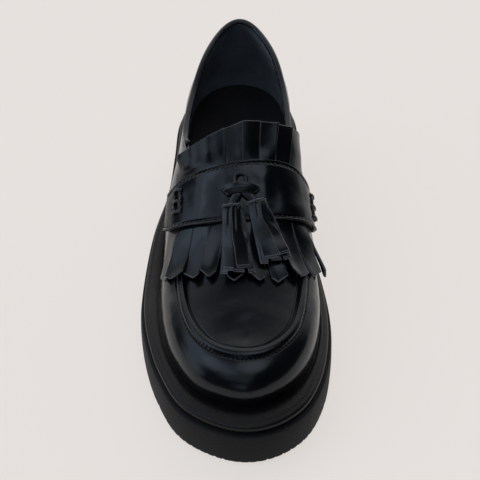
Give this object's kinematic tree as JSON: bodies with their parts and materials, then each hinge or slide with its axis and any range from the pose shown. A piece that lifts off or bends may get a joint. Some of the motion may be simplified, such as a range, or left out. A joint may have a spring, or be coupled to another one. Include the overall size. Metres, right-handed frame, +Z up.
{
  "type": "tassel loafer",
  "caption": "Right platform tassel loafer with a moccasin apron, a fringed kiltie under a saddle strap and a pair of leather tassels.",
  "frame": {"origin": "middle of the shoe's box in plan, at the ground", "axes": "+Z up, +Y towards the heel, -Y towards the toe, +X towards the medial side"},
  "size_m": [0.1118, 0.2812, 0.1121],
  "materials": {
    "polished_leather": "black polished leather with a blue cast, brushed to a gloss",
    "lace_leather": "black polished lace leather with darker cut edges",
    "insole_leather": "matte black insole leather, no print",
    "lining_leather": "dark grey smooth lining leather",
    "sole_foam": "dark grey foamed rubber, matte and finely grained",
    "welt_rubber": "black rubber with a satin top and a rounded edge",
    "thread": "waxed black thread"
  },
  "bodies": {
    "root": {"outsole": "sole_foam", "midsole": "welt_rubber", "upper": "polished_leather", "insole": "insole_leather", "collar_binding": "polished_leather", "kiltie": "polished_leather", "saddle_strap": "polished_leather", "tassel_lace": "lace_leather", "tassel_lateral": "lace_leather", "tassel_medial": "lace_leather"}
  },
  "joints": []
}
